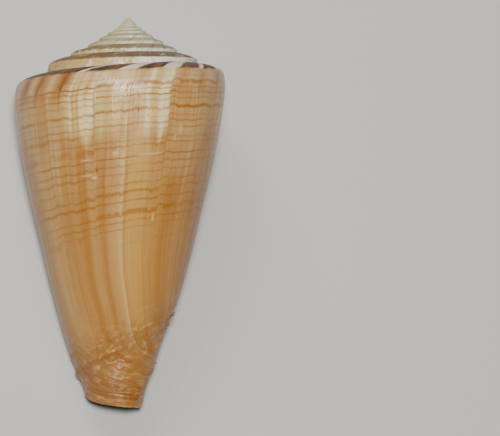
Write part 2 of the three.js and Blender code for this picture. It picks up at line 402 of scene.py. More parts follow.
def wall_thickness(tree, size, turn, scale, tapers):
    """Millimetres from the outer face to the inner one, less at the lip and nothing at a strip's edges."""
    near_lip = add(tree, "DIVIDE", add(tree, "MINIMUM", turn, 0.0), size["Lip Thinning Turns"])
    wall = add(tree, "MULTIPLY", add(tree, "EXPONENT", near_lip), size["Lip Thinning"])
    wall = add(tree, "SUBTRACT", 1.0, wall)
    wall = add(tree, "MULTIPLY", add(tree, "MULTIPLY", wall, scale), size["Wall"])
    for taper in tapers:
        wall = add(tree, "MULTIPLY", wall, taper)
    return wall


def ridge_relief(tree, size, around, along):
    """Fine ridges along the growth lines."""
    spot = add(tree, "ShaderNodeCombineXYZ", add(tree, "MULTIPLY", around, RIDGE_STEP_ROUND),
               add(tree, "MULTIPLY", along, RIDGE_STEP_ALONG), size["Seed"])
    ridges = add(tree, "ShaderNodeTexNoise", {"Vector": spot, "Scale": 1.0, "Detail": 3.0, "Roughness": 0.6})
    return add(tree, "MULTIPLY", add(tree, "SUBTRACT", ridges, RIDGE_LEVEL), size["Ridge Height"])


def cord_relief(tree, size, around, along, relief):
    """Cords across the base, broken into wrinkles and lumps. The growth ridges are fainter there."""
    zone = add(tree, "ShaderNodeMapRange", {
        "Value": along, "From Min": FIRST_CORD - CORD_LEAD, "From Max": FIRST_CORD + CORD_RISE},
        interpolation_type="SMOOTHSTEP")
    fade = add(tree, "ShaderNodeMapRange", {
        "Value": along, "From Min": LIP_END, "From Max": LIP_END - CORD_FADE},
        interpolation_type="SMOOTHSTEP")
    wrinkles = add(tree, "ShaderNodeTexNoise", {"Scale": WRINKLES_PER_MM, "Detail": 3.0, "Roughness": 0.6})
    lumps = add(tree, "ShaderNodeTexNoise", {"Scale": LUMPS_PER_MM, "Detail": 1.0})
    # They slope one way at the first cord and the other way at the tip
    slope = add(tree, "ShaderNodeMapRange", {
        "Value": along, "From Min": FIRST_CORD, "From Max": LIP_END,
        "To Min": CORD_SLOPES[0], "To Max": CORD_SLOPES[1]})
    climb = add(tree, "MULTIPLY", add(tree, "SUBTRACT", around, CORD_CENTRE), slope)
    phase = add(tree, "SUBTRACT", add(tree, "SUBTRACT", along, FIRST_CORD), climb)
    phase = add(tree, "MULTIPLY_ADD", lumps, CORD_SHIFT, add(tree, "DIVIDE", phase, size["Cord Spacing"]))
    cords = add(tree, "MAXIMUM", add(tree, "COSINE", add(tree, "MULTIPLY", phase, math.tau)), 0.0)
    broken = add(tree, "ShaderNodeMapRange", {
        "Value": wrinkles,
        "From Min": CORD_BREAK_LEVELS[0], "From Max": CORD_BREAK_LEVELS[1],
        "To Max": WHOLE_CORD})
    cords = add(tree, "MULTIPLY", add(tree, "POWER", cords, CORD_SHARPNESS), broken)
    cords = add(tree, "ADD", cords, add(tree, "MULTIPLY_ADD", wrinkles, WRINKLE_SHARE, BASE_SINK))
    cords = add(tree, "MULTIPLY_ADD", lumps, LUMP_SHARE, cords)
    cords = add(tree, "MULTIPLY", add(tree, "MULTIPLY", cords, size["Cord Height"]),
                add(tree, "MULTIPLY", zone, fade))
    fainter = add(tree, "MULTIPLY_ADD", zone, -RIDGES_LOST_ON_BASE, 1.0)
    return add(tree, "MULTIPLY_ADD", relief, fainter, cords)


def spire_relief(tree, size, true_turn, scale, slight, relief):
    """Knobs round the early whorls, and the wear on them, which is slight where the whorls
    are small and thin."""
    early = add(tree, "ShaderNodeMapRange", {
        "Value": true_turn, "From Min": KNOBS_END, "From Max": KNOBS_FULL}, interpolation_type="SMOOTHSTEP")
    wave = add(tree, "MULTIPLY", add(tree, "MULTIPLY", true_turn, size["Beads per Turn"]), math.tau)
    knobs = add(tree, "SUBTRACT", add(tree, "COSINE", wave), 1.0)
    knobs = add(tree, "MULTIPLY", add(tree, "MULTIPLY", knobs, size["Bead Height"]), scale)
    relief = add(tree, "ADD", relief, add(tree, "MULTIPLY", knobs, early))
    worn = add(tree, "ShaderNodeTexNoise", {"Scale": WEAR_PER_MM, "Detail": 4.0, "Roughness": 0.6})
    worn = add(tree, "MULTIPLY", add(tree, "SUBTRACT", worn, WEAR_LEVEL), size["Wear"])
    return add(tree, "MULTIPLY_ADD", add(tree, "MULTIPLY", worn, early), slight, relief)


def healed_break_relief(tree, turn, along, relief):
    """A jagged step down on the older side of each break, which runs out further back."""
    for turn_at, first, last, step in HEALED_BREAKS:
        spot = add(tree, "ADD", add(tree, "MULTIPLY", along, BREAK_JAG_STEP), turn_at * BREAK_SEED_STEP)
        jag = add(tree, "ShaderNodeTexNoise", {"W": spot, "Detail": 4.0}, noise_dimensions="1D")
        jag = add(tree, "MULTIPLY", add(tree, "SUBTRACT", jag, 0.5), BREAK_JAG_TURNS)
        behind = add(tree, "ADD", add(tree, "SUBTRACT", turn, turn_at), jag)
        ledge = add(tree, "ShaderNodeMapRange", {
            "Value": behind, "From Min": BREAK_LEDGE_TURNS[0], "From Max": BREAK_LEDGE_TURNS[1]},
            interpolation_type="SMOOTHSTEP")
        fade = add(tree, "ShaderNodeMapRange", {
            "Value": behind, "From Min": BREAK_FADE_TURNS, "From Max": 0.0}, interpolation_type="SMOOTHSTEP")
        upper = add(tree, "ShaderNodeMapRange", {
            "Value": along, "From Min": first, "From Max": first + BREAK_UPPER_FADE})
        lower = add(tree, "ShaderNodeMapRange", {
            "Value": along, "From Min": last, "From Max": last - BREAK_LOWER_FADE})
        mark = add(tree, "MULTIPLY", add(tree, "MULTIPLY", ledge, fade), add(tree, "MULTIPLY", upper, lower))
        relief = add(tree, "SUBTRACT", relief, add(tree, "MULTIPLY", mark, abs(step)))
    return relief


def face_offset(tree, read, relief):
    """Millimetres by which each point moves along its normal: relief on the outer face, and the wall's
    thickness on the inner one. At the lip's very edge both faces meet halfway."""
    sunk = add(tree, "MULTIPLY", add(tree, "SUBTRACT", 1.0, read["start_taper"]), START_SINK)
    round_off = add(tree, "MULTIPLY", add(tree, "MULTIPLY", read["over_edge"], read["wall"]), 0.5)
    outward = add(tree, "SUBTRACT", add(tree, "SUBTRACT", relief, sunk), round_off)
    inward = add(tree, "ADD", add(tree, "SUBTRACT", read["wall"], round_off), sunk)
    offset = add(tree, "ShaderNodeMix", {
        "Factor": read["inside"], "A": outward, "B": inward}, data_type="FLOAT")
    halfway = add(tree, "MULTIPLY", read["wall"], 0.5)
    meet = add(tree, "ShaderNodeMix", {
        "Factor": read["inside"], "A": add(tree, "MULTIPLY", halfway, -1.0), "B": halfway}, data_type="FLOAT")
    return add(tree, "ShaderNodeMix", {
        "Factor": read["over_edge"], "A": offset, "B": meet}, data_type="FLOAT")


def wound_wall_tree():
    """Winds a lip, given as a line of points, into a closed wall of two layers."""
    tree = bpy.data.node_groups.new("wound_wall", "GeometryNodeTree")
    tree.is_modifier = True
    tree.interface.new_socket("Lip", in_out="INPUT", socket_type="NodeSocketGeometry")
    for name, kind, value in SIZES:
        socket = tree.interface.new_socket(name, in_out="INPUT", socket_type=kind)
        if value is not None:
            socket.default_value = value
    tree.interface.new_socket("Wall", in_out="OUTPUT", socket_type="NodeSocketGeometry")
    enter = tree.nodes.new("NodeGroupInput")
    size = {socket.name: socket for socket in enter.outputs}

    grid = add(tree, "GeometryNodeMeshGrid", {
        "Size X": 1.0, "Size Y": 1.0, "Vertices X": size["Columns"], "Vertices Y": size["Rows"]})
    grid = add(tree, "GeometryNodeFlipFaces", {"Mesh": grid})
    spot = tree.nodes.new("ShaderNodeSeparateXYZ")
    tree.links.new(add(tree, "GeometryNodeInputPosition"), spot.inputs[0])
    across = add(tree, "ADD", spot.outputs[0], 0.5)
    ahead = add(tree, "ADD", spot.outputs[1], 0.5)
    lip, note = lip_at_columns(tree, size, across)
    turn, main, over_edge = turn_of_rows(tree, size, ahead, note["along"])
    place, scale = where_lip_stood(tree, size, lip, turn)
    start_taper = add(tree, "MINIMUM", add(tree, "MULTIPLY", main, START_TAPER), 1.0)
    notes = {
        "turn": add(tree, "ADD", turn, note["sweep"]), "along": note["along"], "inside": note["inside"],
        "wall": wall_thickness(tree, size, turn, scale, (note["end_taper"], start_taper)),
        "over_edge": over_edge, "scale": scale, "true_turn": turn,
        "end_taper": note["end_taper"], "start_taper": start_taper,
    }
    # The notes are kept on the grid before it is wound
    kept = grid
    for label, value in notes.items():
        kept = add(tree, "GeometryNodeStoreNamedAttribute", {"Geometry": kept, "Name": label, "Value": value},
                   data_type="FLOAT", domain="POINT")
    kept = add(tree, "GeometryNodeSetPosition", {"Geometry": kept, "Position": place})
    read = {
        label: add(tree, "GeometryNodeInputNamedAttribute", {"Name": label}, data_type="FLOAT")
        for label in notes
    }

    # Relief of the outer face, in millimetres along its normal
    around = add(tree, "MULTIPLY", read["turn"], size["Around"])
    slight = add(tree, "MINIMUM", add(tree, "MULTIPLY", read["scale"], SMALL_WHORL_GAIN), 1.0)
    relief = ridge_relief(tree, size, around, read["along"])
    relief = cord_relief(tree, size, around, read["along"], relief)
    relief = spire_relief(tree, size, read["true_turn"], read["scale"], slight, relief)
    relief = healed_break_relief(tree, read["turn"], read["along"], relief)
    relief = add(tree, "SUBTRACT", relief, add(tree, "MULTIPLY", size["Inset"], slight))
    relief = add(tree, "MULTIPLY", relief, read["end_taper"])
    relief = add(tree, "MULTIPLY", relief, read["start_taper"])
    push = add(tree, "ShaderNodeVectorMath", add(tree, "GeometryNodeInputNormal"),
               {"Scale": face_offset(tree, read, relief)}, operation="SCALE")
    formed = add(tree, "GeometryNodeSetPosition", {"Geometry": kept, "Offset": push})

    growth = add(tree, "ShaderNodeCombineXYZ", read["turn"], read["along"], read["true_turn"])
    formed = add(tree, "GeometryNodeStoreNamedAttribute", {
        "Geometry": formed, "Name": "growth", "Value": growth}, data_type="FLOAT_VECTOR", domain="POINT")
    closed = add(tree, "GeometryNodeMergeByDistance", {"Geometry": formed, "Distance": SAME_POINT})
    shaded = add(tree, "GeometryNodeSetShadeSmooth", {"Geometry": closed})
    real = add(tree, "GeometryNodeRealizeInstances", {"Geometry": shaded})
    painted = add(tree, "GeometryNodeSetMaterial", {"Geometry": real, "Material": size["Outer Layer"]})
    inner_face = add(tree, "GREATER_THAN", read["inside"], 0.5)
    painted = add(tree, "GeometryNodeSetMaterial", {
        "Geometry": painted, "Selection": inner_face, "Material": size["Inner Layer"]})
    leave = tree.nodes.new("NodeGroupOutput")
    tree.links.new(painted, leave.inputs[0])
    return tree


def wound(name, spans, tree, sizes):
    """Winds the lip into a wall with the tree and gives its plain mesh."""
    line, columns = lip_profile(spans, name)
    bpy.context.collection.objects.link(line)
    winding = line.modifiers.new("winding", "NODES")
    winding.node_group = tree
    identifier = {
        item.name: item.identifier for item in tree.interface.items_tree
        if item.item_type == "SOCKET" and item.in_out == "INPUT"
    }
    for label, value in {**sizes, "Columns": columns}.items():
        winding[identifier[label]] = value
    depsgraph = bpy.context.evaluated_depsgraph_get()
    mesh = bpy.data.meshes.new_from_object(line.evaluated_get(depsgraph))
    line.modifiers.remove(winding)
    bpy.data.objects.remove(line)
    return mesh


def tint(tree, mask, under, colour):
    """The colour laid over what is under it where the mask is 1."""
    return add(tree, "ShaderNodeMix", {
        "Factor": mask, "A": under, "B": linear(colour)}, data_type="RGBA")


# The last whorl's own brown, under its streaks
GROUND = "#B07D3C"

# Growth streaks all round the last whorl, and a pale wash that is a painted highlight: the noise round the
# free level between which a streak comes in, millimetres over which it fades at its ends, and what its seed
# is multiplied by
STREAK_LEVELS = (-0.05, 0.11)
STREAK_FADE = 2.5
STREAK_SEED_STEP = 13.7

# Their colour, strength, width and length in millimetres, seed, level of the noise that leaves the
# surface free, first and last place along the lip
STREAKS_AND_HIGHLIGHT_WASH = (
    ("#A8753A", 0.7, 11.0, 120.0, 1.0, 0.47, 5.0, 56.0),
    ("#DFC084", 0.70, 8.0, 60.0, 2.0, 0.52, 6.0, 24.0),
    ("#C99B4E", 0.55, 9.0, 70.0, 3.0, 0.50, 18.0, 52.0),
    ("#E6CE9A", 0.3, 2.4, 40.0, 4.0, 0.55, 5.0, 21.0),
    ("#9A6430", 0.26, 2.6, 60.0, 5.0, 0.55, 6.0, 50.0),
    ("#CFA566", 0.28, 2.2, 70.0, 8.0, 0.54, 20.0, 56.0),
    ("#EAD6AC", 0.2, 0.8, 30.0, 6.0, 0.54, 5.0, 26.0),
    ("#8F5F2C", 0.2, 0.6, 25.0, 7.0, 0.54, 5.0, 50.0),
    # The last one is a broad pale yellow wash over the upper body: a painted highlight, not a colour of the
    # shell
    ("#F6DC92", 0.34, 16.0, 80.0, 9.0, 0.38, 6.5, 15.0),
)

# Colours round the back, from its left edge to its right: turn, colour and strength. The dark stops at both
# edges are painted shade where the sides turn from the light, and the near-white stops in the middle are
# cream streaks made brighter as a painted highlight.
BACK_START = -0.08
BACK_SPAN = -0.54
UPPER_BACK = (
    (-0.100, "#86572A", 0.60), (-0.165, "#98642A", 0.50), (-0.200, "#B47C38", 0.50),
    (-0.225, "#B78040", 0.45), (-0.240, "#D9B97C", 0.40), (-0.246, "#F8E8AE", 0.90),
    (-0.249, "#C08F4E", 0.40), (-0.254, "#F0D58C", 0.70), (-0.257, "#C99A58", 0.40),
    (-0.261, "#F4DF9E", 0.85), (-0.281, "#F4DF9E", 0.85), (-0.2835, "#7C5A28", 0.80),
    (-0.286, "#CDBE74", 0.75), (-0.297, "#CDBE74", 0.60), (-0.301, "#C4924C", 0.40),
    (-0.310, "#E6C67C", 0.50), (-0.320, "#EBCF86", 0.60), (-0.328, "#C99A58", 0.35),
    (-0.332, "#EED79E", 0.70), (-0.336, "#C08A40", 0.50), (-0.350, "#BE873C", 0.50),
    (-0.358, "#D8B475", 0.50), (-0.3645, "#FAEDB8", 0.90), (-0.370, "#E9CB82", 0.60),
    (-0.378, "#D9B67A", 0.60), (-0.384, "#F5E1A4", 0.85), (-0.398, "#F6E6B4", 0.90),
    (-0.402, "#B9793A", 0.60), (-0.420, "#AC6E32", 0.65), (-0.455, "#A86A30", 0.60),
    (-0.500, "#8C5827", 0.60), (-0.600, "#A0682F", 0.30),
)
LOWER_BACK = (
    (-0.100, "#825628", 0.60), (-0.155, "#95622A", 0.50), (-0.180, "#C39A5C", 0.45),
    (-0.190, "#B78445", 0.30), (-0.235, "#B98442", 0.20), (-0.245, "#C6955A", 0.40),
    (-0.258, "#A86A2A", 0.50), (-0.266, "#A86A2A", 0.50), (-0.275, "#C6955A", 0.40),
    (-0.290, "#BE8A4C", 0.35), (-0.300, "#A97033", 0.35), (-0.308, "#C6955A", 0.40),
    (-0.326, "#CCA468", 0.50), (-0.330, "#E6CB90", 0.60), (-0.334, "#DDBE80", 0.50),
    (-0.3365, "#B27A34", 0.60), (-0.341, "#CB9D4F", 0.65), (-0.372, "#C9994A", 0.65),
    (-0.378, "#B98040", 0.50), (-0.400, "#B8813F", 0.40), (-0.415, "#AC6E32", 0.55),
    (-0.445, "#A86A30", 0.50), (-0.452, "#C39160", 0.40), (-0.458, "#A86A30", 0.50),
    (-0.520, "#83511F", 0.60), (-0.600, "#9A6430", 0.30),
)

# The two sets with the first and last place along the lip that each colours, and how softly it ends, in
# millimetres; both of its ends hang lower by an uneven part of BACK_REACH_LENGTH
BACK_SETS = ((LOWER_BACK, 13.0, 51.0, 2.5), (UPPER_BACK, 0.5, 12.0, 2.4))
BACK_REACH_LENGTH = 8.0

# Small marks on the back, dark ones of wear and pale ones that are painted glints along ledges: turn and
# place along the lip, half width round the whorl and half height in millimetres, colour, strength
WEAR_AND_GLINT_MARKS = (
    (-0.426, 16.1, 0.35, 0.80, "#D9BE78", 0.6),
    (-0.416, 17.4, 0.25, 0.5, "#D8BC70", 0.5),
    (-0.394, 31.0, 0.28, 0.60, "#DDC268", 0.8),
    (-0.384, 31.1, 0.14, 0.14, "#D8BC70", 0.6),
    (-0.288, 21.7, 0.25, 0.60, "#8A4E1E", 0.8),
    (-0.270, 19.9, 1.00, 0.16, "#E6D2A0", 0.4),
    (-0.272, 22.4, 1.10, 0.14, "#E6D2A0", 0.4),
    (-0.284, 22.9, 0.55, 0.25, "#F0DFB4", 0.45),
    (-0.318, 19.2, 0.50, 0.40, "#E6D2A0", 0.45),
    (-0.375, 19.9, 2.80, 0.24, "#E6CC94", 0.35),
    (-0.352, 10.0, 0.25, 0.45, "#A8641E", 0.7),
    (-0.350, 12.4, 0.22, 0.60, "#A8641E", 0.7),
    (-0.3655, 13.2, 0.22, 0.22, "#8A5A2A", 0.6),
)

# Flame marks that hang from the shoulder: turn counted back from the lip, and strength; the shoulder is
# pale midway between two
SHOULDER_FLAMES = (
    (0.03, 0.7), (0.085, 0.9), (0.148, 1.0), (0.182, 1.0), (0.228, 1.0), (0.272, 0.5), (0.300, 0.25),
    (0.352, 0.3), (0.376, 0.2), (0.418, 0.4), (0.455, 0.5), (0.505, 0.7), (0.56, 0.8), (0.65, 0.7),
    (0.77, 0.9), (0.90, 0.7),
)

# White rays across the dark ramp above the shoulder: turn counted back from the lip, and how wide
RAMP_RAYS = (
    (0.045, 0.7), (0.100, 0.62), (0.155, 0.5), (0.210, 0.5), (0.262, 0.72), (0.334, 0.95), (0.404, 0.95),
    (0.468, 0.65), (0.532, 1.0), (0.600, 0.65), (0.650, 0.75), (0.724, 1.0), (0.800, 0.65), (0.870, 0.95),
    (0.956, 0.75),
)


# How ragged edges stray: how far their noise moves on for each millimetre, and how far an edge of the
# back's streaks strays, in turns
RAGGED_STEP = 0.6
BACK_STRAY = 0.004

# Thin spiral lines: the power that crowds them toward the shoulder, lines to the first millimetre, half
# width and dark core in millimetres, and how they wave, stray, shift at old breaks, vary and fade
LINE_CROWDING = 0.6
LINES_AT_START = 4.0
LINE_WIDTH = 0.3
LINE_CORE = 0.05
LINE_WAVE = 0.9
LINE_WAVE_LENGTH = 2.4
LINE_UNEVENNESS = 1.8
LINE_UNEVEN_STEP = 0.42
LINE_SHIFT = 2.0
FAINTEST_LINE = 0.4
LINE_FADE = 1.5
LINE_STRENGTH = 0.95

# Flames under the shoulder: millimetres that they hang down at most, where their feet fade, how many
# times further than the back's streaks their edges stray, and the place past the ramp, softness and
# strength of the pale edge between them
FLAME_LENGTH = 8.0
FLAME_FOOT = (-0.8, 1.8)
FLAME_STRAY = 2.0
PALE_EDGE = (0.2, 3.0)
PALE_EDGE_FADE = 1.0
PALE_EDGE_STRENGTH = 0.36

# Marks of wear and painted glints, in half sizes: how far their edges stray, and the strayed distances
# between which they fade
MARK_RAGGEDNESS = 2.0
MARK_EDGE = (2.3, 1.4)

# Base: millimetres past its own start and past the pillar's start between which it darkens, and how much
BASE_DARKENS = (2.0, 1.5)
BASE_DARKNESS = 0.62

# Ramp: turns that its rays lean back for each millimetre up to the suture, and how ragged they are
RAY_LEAN = 0.006
RAY_RAGGEDNESS = 0.5

# Noises drawn out along the growth lines: width and length of a streak in millimetres, seed, detail
LINE_PATCHES = (9.0, 3.0, 21.0)
BACK_GRAIN = (0.5, 14.0, 5.0)
BACK_REACH = (1.6, 200.0, 15.0)
FLAME_HANG = (1.3, 30.0, 88.0)
MARK_STRAY = (0.35, 0.35, 3.0, 3.0)
BASE_PATCHES = (7.0, 9.0, 55.0, 3.0)
BASE_SCUFFS = (3.4, 0.9, 47.0, 4.0)
RAMP_BROWN = (1.6, 12.0, 71.0, 3.0)
SPIRE_PATCHES = (5.0, 9.0, 31.0, 4.0)
SPIRE_GRAIN = (1.0, 2.0, 37.0, 4.0)
SPIRE_FLAMES = (2.6, 30.0, 43.0, 3.0)
FINE_LINES = (0.45, 9.0, 61.0, 3.0)
BROAD_LINES = (1.3, 25.0, 67.0, 2.0)
INNER_CLOUD = (9.0, 14.0, 5.0, 3.0)
INNER_SPOTS = (1.1, 1.1, 9.0, 4.0)
INNER_LINES = (0.7, 18.0, 19.0)


def raggedness(tree, along, seed):
    """Millimetres by which an edge strays, about -0.5 to 0.5."""
    stray = add(tree, "ShaderNodeTexNoise", {
        "W": add(tree, "MULTIPLY_ADD", along, RAGGED_STEP, seed), "Scale": 1.0, "Detail": 5.0,
        "Roughness": 0.7}, noise_dimensions="1D")
    return add(tree, "SUBTRACT", stray, 0.5)


def spiral_lines(tree, turn, around, along):
    """Thin wavy lines that run round the whorl, uneven in place and strength, shifted at old breaks."""
    wave = add(tree, "ShaderNodeTexNoise", {
        "W": add(tree, "DIVIDE", around, LINE_WAVE_LENGTH), "Scale": 1.0, "Detail": 3.0},
        noise_dimensions="1D")
    level = add(tree, "MULTIPLY_ADD", wave, LINE_WAVE, along)
    uneven = add(tree, "ShaderNodeTexNoise", {
        "W": add(tree, "MULTIPLY", along, LINE_UNEVEN_STEP), "Scale": 1.0, "Detail": 1.0},
        noise_dimensions="1D")
    level = add(tree, "MULTIPLY_ADD", uneven, LINE_UNEVENNESS, level)
    for turn_at, _, _, step in HEALED_BREAKS:
        older = add(tree, "LESS_THAN", turn, turn_at)
        level = add(tree, "MULTIPLY_ADD", older, step * LINE_SHIFT, level)
    # They stand close together near the shoulder and further apart down the side
    rung = add(tree, "MULTIPLY", add(tree, "POWER", level, LINE_CROWDING), LINES_AT_START)
    off = add(tree, "ABSOLUTE", add(tree, "SUBTRACT", add(tree, "FRACT", rung), 0.5))
    spacing = add(tree, "POWER", level, 1 - LINE_CROWDING)
    spacing = add(tree, "DIVIDE", spacing, LINE_CROWDING * LINES_AT_START)
    off = add(tree, "MULTIPLY", off, spacing)
    line = add(tree, "ShaderNodeMapRange", {
        "Value": off, "From Min": LINE_WIDTH, "From Max": LINE_CORE}, interpolation_type="SMOOTHSTEP")
    own = add(tree, "ShaderNodeTexWhiteNoise", {"W": add(tree, "FLOOR", rung)}, noise_dimensions="1D")
    own = add(tree, "ShaderNodeMapRange", {"Value": own, "To Min": FAINTEST_LINE, "To Max": 1.0})
    patch = growth_streaks(tree, around, along, *LINE_PATCHES)
    patch = add(tree, "ShaderNodeMapRange", {"Value": patch, "From Min": 0.26, "From Max": 0.5})
    here = between(tree, along, LINES_START, LINES_END, LINE_FADE)
    return add(tree, "MULTIPLY", add(tree, "MULTIPLY", line, own), add(tree, "MULTIPLY", patch, here))


def streaked_ground_and_painted_highlight(tree, around, along):
    """The ground colour with growth streaks all round the whorl, and a broad pale wash on the upper body that
    is a painted highlight.
    """
    colour = linear(GROUND)
    for streak_colour, strength, width, length, seed, free, first, last in STREAKS_AND_HIGHLIGHT_WASH:
        streak = growth_streaks(tree, around, along, width, length, seed * STREAK_SEED_STEP, 3.0)
        mask = add(tree, "ShaderNodeMapRange", {
            "Value": streak, "From Min": free + STREAK_LEVELS[0], "From Max": free + STREAK_LEVELS[1],
            "To Max": strength})
        mask = add(tree, "MULTIPLY", mask, between(tree, along, first, last, STREAK_FADE))
        colour = tint(tree, mask, colour, streak_colour)
    return colour


def back_streaks_and_painted_light(tree, turn, stray, around, along, colour):
    """The back's colours, one set under the shoulder and one further down the side: streaks of the shell,
    with painted shade darkening both edges and a painted highlight in the middle.
    """
    back = add(tree, "DIVIDE", add(tree, "SUBTRACT", add(tree, "ADD", turn, stray), BACK_START), BACK_SPAN)
    grain = growth_streaks(tree, around, along, *BACK_GRAIN)
    grain = add(tree, "ShaderNodeMapRange", {
        "Value": grain, "From Min": 0.3, "From Max": 0.6, "To Min": 0.6, "To Max": 1.0})
    reach = growth_streaks(tree, around, along, *BACK_REACH)
    level = add(tree, "MULTIPLY_ADD", reach, -BACK_REACH_LENGTH, along)
    for stops, first, last, soft in BACK_SETS:
        streaks = add(tree, "ShaderNodeValToRGB", back, stops=[
            ((turn_at - BACK_START) / BACK_SPAN, (*linear(stop_colour)[:3], strength))
            for turn_at, stop_colour, strength in stops
        ])
        mask = add(tree, "MULTIPLY", streaks.node.outputs["Alpha"], grain)
        mask = add(tree, "MULTIPLY", mask, between(tree, level, first, last, soft))
        colour = add(tree, "ShaderNodeMix", {"Factor": mask, "A": colour, "B": streaks}, data_type="RGBA")
    return colour


def wedges(marks):
    """Stops of a colour ramp that is as bright as each mark says, and black midway to the next one."""
    stops = []
    for (near, strength), (far, _) in zip(marks, marks[1:] + ((1.0, 0.0),)):
        stops += [(near, (strength, strength, strength, 1)), ((near + far) / 2, (0, 0, 0, 1))]
    return stops


def shoulder_flames(tree, turn, stray, around, along, colour):
    """Flames under the shoulder, whose edge is pale between them."""
    pale = between(tree, along, RAMP_END + PALE_EDGE[0], RAMP_END + PALE_EDGE[1], PALE_EDGE_FADE)
    colour = tint(tree, add(tree, "MULTIPLY", pale, PALE_EDGE_STRENGTH), colour, "#E6CE9A")
    back_from_lip = add(tree, "ADD", turn, add(tree, "MULTIPLY", stray, FLAME_STRAY))
    back_from_lip = add(tree, "MULTIPLY", back_from_lip, -1.0)
    flames = add(tree, "ShaderNodeValToRGB", back_from_lip, stops=wedges(SHOULDER_FLAMES))
    hang = growth_streaks(tree, around, along, *FLAME_HANG)
    hang = add(tree, "MULTIPLY_ADD", hang, FLAME_LENGTH, RAMP_END)
    foot = add(tree, "SUBTRACT", hang, along)
    foot = add(tree, "ShaderNodeMapRange", {
        "Value": foot, "From Min": FLAME_FOOT[0], "From Max": FLAME_FOOT[1]})
    return tint(tree, add(tree, "MULTIPLY", flames, foot), colour, "#8A4A10")


def wear_and_painted_glint_marks(tree, turn, around, along, colour):
    """Small oval marks with ragged edges: dark worn spots, and pale painted glints."""
    stray = growth_streaks(tree, around, along, *MARK_STRAY)
    for turn_at, height_at, half_width, half_height, mark_colour, strength in WEAR_AND_GLINT_MARKS:
        aside = add(tree, "MULTIPLY", add(tree, "SUBTRACT", turn, turn_at), AROUND_MM / half_width)
        below = add(tree, "DIVIDE", add(tree, "SUBTRACT", along, height_at), half_height)
        off = add(tree, "MULTIPLY_ADD", aside, aside, add(tree, "MULTIPLY", below, below))
        off = add(tree, "MULTIPLY_ADD", stray, MARK_RAGGEDNESS, add(tree, "SQRT", off))
        mask = add(tree, "ShaderNodeMapRange", {
            "Value": off, "From Min": MARK_EDGE[0], "From Max": MARK_EDGE[1], "To Max": strength})
        colour = tint(tree, mask, colour, mark_colour)
    return colour


def base_colour(tree, around, along, colour):
    """The base is darker and more orange, in slanting patches, with pale scuffs along its cords."""
    base = add(tree, "ShaderNodeMapRange", {
        "Value": along, "From Min": BASE_START + BASE_DARKENS[0],
        "From Max": PILLAR_START + BASE_DARKENS[1]}, interpolation_type="SMOOTHSTEP")
    patch = growth_streaks(tree, around, along, *BASE_PATCHES)
    patch = add(tree, "ShaderNodeMapRange", {
        "Value": patch, "From Min": 0.36, "From Max": 0.60, "To Min": 0.25})
    dark = add(tree, "MULTIPLY", add(tree, "MULTIPLY", base, patch), BASE_DARKNESS)
    colour = tint(tree, dark, colour, "#8C4B14")
    along_cords = add(tree, "MULTIPLY_ADD", around, -CORD_SLOPES[1], along)
    scuffs = growth_streaks(tree, around, along_cords, *BASE_SCUFFS)
    scuffs = add(tree, "ShaderNodeMapRange", {
        "Value": scuffs, "From Min": 0.54, "From Max": 0.70, "To Max": 0.6})
    return tint(tree, add(tree, "MULTIPLY", base, scuffs), colour, "#DDBB7C")


def last_whorl_colour(tree, turn, around, along):
    """Everything that colours the last whorl below its shoulder, from the ground up."""
    colour = streaked_ground_and_painted_highlight(tree, around, along)
    stray = add(tree, "MULTIPLY", raggedness(tree, along, 31.0), BACK_STRAY)
    colour = back_streaks_and_painted_light(tree, turn, stray, around, along, colour)
    colour = shoulder_flames(tree, turn, stray, around, along, colour)
    lines = add(tree, "MULTIPLY", spiral_lines(tree, turn, around, along), LINE_STRENGTH)
    colour = tint(tree, lines, colour, "#9C5E14")
    colour = wear_and_painted_glint_marks(tree, turn, around, along, colour)
    return base_colour(tree, around, along, colour)


def ramp_colour(tree, turn, around, along):
    """Dark ramp above the shoulder, crossed by white rays."""
    brown = growth_streaks(tree, around, along, *RAMP_BROWN)
    colour = add(tree, "ShaderNodeMix", {
        "Factor": add(tree, "ShaderNodeMapRange", {"Value": brown, "From Min": 0.4, "From Max": 0.66}),
        "A": linear("#3C2009"), "B": linear("#74481F")}, data_type="RGBA")
    # The rays lean back toward the suture
    from_middle = add(tree, "SUBTRACT", along, RAMP_END / 2)
    leaning = add(tree, "MULTIPLY_ADD", from_middle, RAY_LEAN, add(tree, "MULTIPLY", turn, -1.0))
    rays = add(tree, "ShaderNodeValToRGB", leaning, stops=wedges(RAMP_RAYS))
    rays = add(tree, "MULTIPLY_ADD", brown, RAY_RAGGEDNESS, rays)
    rays = add(tree, "ShaderNodeMapRange", {"Value": rays, "From Min": 0.72, "From Max": 0.86})
    return tint(tree, rays, colour, "#DDD2BC")


# The early whorls' ages are turns back from the lip: where their bleached side begins, and the place
# along the lip, in millimetres, where ramp and band meet
BLEACHED_FROM = 1.33
BAND_START = 5.2
BAND_FULL = 5.7


def spire_ramp_and_band(tree, age, around, along):
    """Colours of the early whorls' brown-grey ramp and of the cream band at their shoulder."""
    patch = growth_streaks(tree, around, along, *SPIRE_PATCHES)
    fine = growth_streaks(tree, around, along, *SPIRE_GRAIN)
    both = add(tree, "MULTIPLY_ADD", fine, 0.5, add(tree, "MULTIPLY", patch, 0.6))
    ramp = add(tree, "ShaderNodeMix", {
        "Factor": add(tree, "ShaderNodeMapRange", {"Value": both, "From Min": 0.58, "From Max": 0.74}),
        "A": linear("#6E5235"), "B": linear("#C4BA9C")}, data_type="RGBA")
    # Each early whorl is cream on one side and bleached white on the other
    bleached = add(tree, "SINE", add(tree, "MULTIPLY", add(tree, "ADD", age, -BLEACHED_FROM), math.tau))
    bleached = add(tree, "MULTIPLY_ADD", bleached, 0.16, both)
    band = add(tree, "ShaderNodeMix", {
        "Factor": add(tree, "ShaderNodeMapRange", {"Value": bleached, "From Min": 0.50, "From Max": 0.60}),
        "A": linear("#C8A868"), "B": linear("#E6DCC6")}, data_type="RGBA")
    return ramp, band


